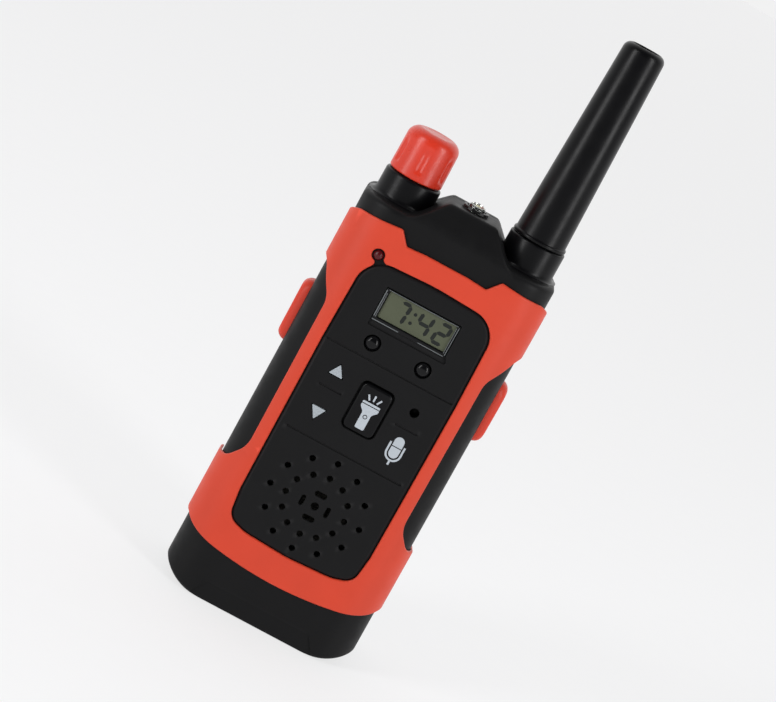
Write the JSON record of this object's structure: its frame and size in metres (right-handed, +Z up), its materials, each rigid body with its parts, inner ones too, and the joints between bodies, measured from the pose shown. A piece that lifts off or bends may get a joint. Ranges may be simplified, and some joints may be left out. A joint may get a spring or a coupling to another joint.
{
  "type": "toy walkie talkie",
  "caption": "Handheld toy two-way radio with stub antenna, turning volume knob, side talk buttons, clock display, torch lamp and a sprung belt clip.",
  "frame": {"origin": "middle of the flat base that the radio stands on, below the knob's and the antenna's axes", "axes": "+Z up along the body to the antenna's tip, -Y out of the face with the clock, +X towards the antenna's side"},
  "size_m": [0.0608, 0.0387, 0.1814],
  "materials": {
    "black_plastic": "fine matte texture",
    "gloss_black": "polished",
    "orange_plastic": "satin, fine texture",
    "orange_gloss": "semi-gloss",
    "white_plastic": "satin",
    "clear_plastic": "clear moulded plastic",
    "lcd_glass": "grey-green display glass",
    "red_lens": "tinted clear",
    "board_green": "solder mask",
    "bright_metal": "plated",
    "magnet_metal": "dark plated",
    "battery_wrap": "plain printed wrap",
    "paper_cone": "pressed paper",
    "soft_rubber": "matte",
    "red_wire": "insulated wire"
  },
  "bodies": {
    "housing": {"front_housing": "black_plastic", "rear_housing": "black_plastic", "armour_bezel": "orange_plastic", "face_panel": "black_plastic", "lcd_window": "clear_plastic", "lcd_module": "lcd_glass", "clock_board": "board_green", "clock_cell": "bright_metal", "key_board": "board_green", "main_board": "board_green", "radio_chip": "gloss_black", "key_switch_up": "gloss_black", "key_switch_down": "gloss_black", "key_switch_torch": "gloss_black", "mic_capsule": "bright_metal", "mic_gasket": "soft_rubber", "power_led": "red_lens", "ptt_switch_left": "gloss_black", "ptt_switch_right": "gloss_black", "speaker_frame": "magnet_metal", "speaker_cone": "paper_cone", "speaker_magnet": "magnet_metal", "knob_collar": "gloss_black", "volume_pot": "bright_metal", "antenna": "gloss_black", "antenna_collar": "gloss_black", "antenna_wire": "bright_metal", "torch_led": "clear_plastic", "torch_ring": "gloss_black", "battery_tray": "black_plastic", "battery_1": "battery_wrap", "battery_2": "battery_wrap", "battery_3": "battery_wrap", "battery_spring_1": "bright_metal", "battery_spring_2": "bright_metal", "battery_spring_3": "bright_metal", "contact_plate_bottom": "bright_metal", "contact_plate_top": "bright_metal", "battery_lead_red": "red_wire", "battery_lead_black": "soft_rubber", "speaker_lead_red": "red_wire", "speaker_lead_black": "soft_rubber", "clip_bracket": "black_plastic", "clip_pin": "bright_metal", "clip_spring": "bright_metal", "housing_screw_1": "bright_metal", "housing_screw_2": "bright_metal", "housing_screw_3": "bright_metal", "housing_screw_4": "bright_metal"},
    "knob": {"knob": "orange_gloss", "pot_shaft": "bright_metal"},
    "ptt_left": {"ptt_left": "orange_gloss"},
    "ptt_right": {"ptt_right": "orange_gloss"},
    "up_key": {"up_key": "white_plastic"},
    "down_key": {"down_key": "white_plastic"},
    "torch_key": {"torch_key": "gloss_black"},
    "clock_mode_button": {"clock_mode_button": "gloss_black"},
    "clock_set_button": {"clock_set_button": "gloss_black"},
    "battery_door": {"battery_door": "black_plastic"},
    "belt_clip": {"belt_clip": "black_plastic"}
  },
  "joints": [
    {"name": "knob_turn", "type": "hinge", "parent": "housing", "child": "knob", "pos_m": [-0.0178, 0, 0.1249], "axis": [0, 0, -1], "range_deg": [0, 280]},
    {"name": "ptt_left_press", "type": "slide", "parent": "housing", "child": "ptt_left", "axis": [1, 0, 0], "range_m": [0, 0.0012], "stiffness_N_per_m": 1500},
    {"name": "ptt_right_press", "type": "slide", "parent": "housing", "child": "ptt_right", "axis": [-1, 0, 0], "range_m": [0, 0.0012], "stiffness_N_per_m": 1500},
    {"name": "up_key_press", "type": "slide", "parent": "housing", "child": "up_key", "axis": [0, 1, 0], "range_m": [0, 0.0006], "stiffness_N_per_m": 1200},
    {"name": "down_key_press", "type": "slide", "parent": "housing", "child": "down_key", "axis": [0, 1, 0], "range_m": [0, 0.0006], "stiffness_N_per_m": 1200},
    {"name": "torch_key_press", "type": "slide", "parent": "housing", "child": "torch_key", "axis": [0, 1, 0], "range_m": [0, 0.0006], "stiffness_N_per_m": 1200},
    {"name": "clock_mode_press", "type": "slide", "parent": "housing", "child": "clock_mode_button", "axis": [0, 1, 0], "range_m": [0, 0.0004], "stiffness_N_per_m": 1500},
    {"name": "clock_set_press", "type": "slide", "parent": "housing", "child": "clock_set_button", "axis": [0, 1, 0], "range_m": [0, 0.0004], "stiffness_N_per_m": 1500},
    {"name": "battery_door_slide", "type": "slide", "parent": "housing", "child": "battery_door", "axis": [0, 0, -1], "range_m": [0, 0.012]},
    {"name": "belt_clip_open", "type": "hinge", "parent": "housing", "child": "belt_clip", "pos_m": [0, 0.0196, 0.103], "axis": [1, 0, 0], "range_deg": [0, 18], "stiffness_Nm_per_rad": 0.3}
  ]
}
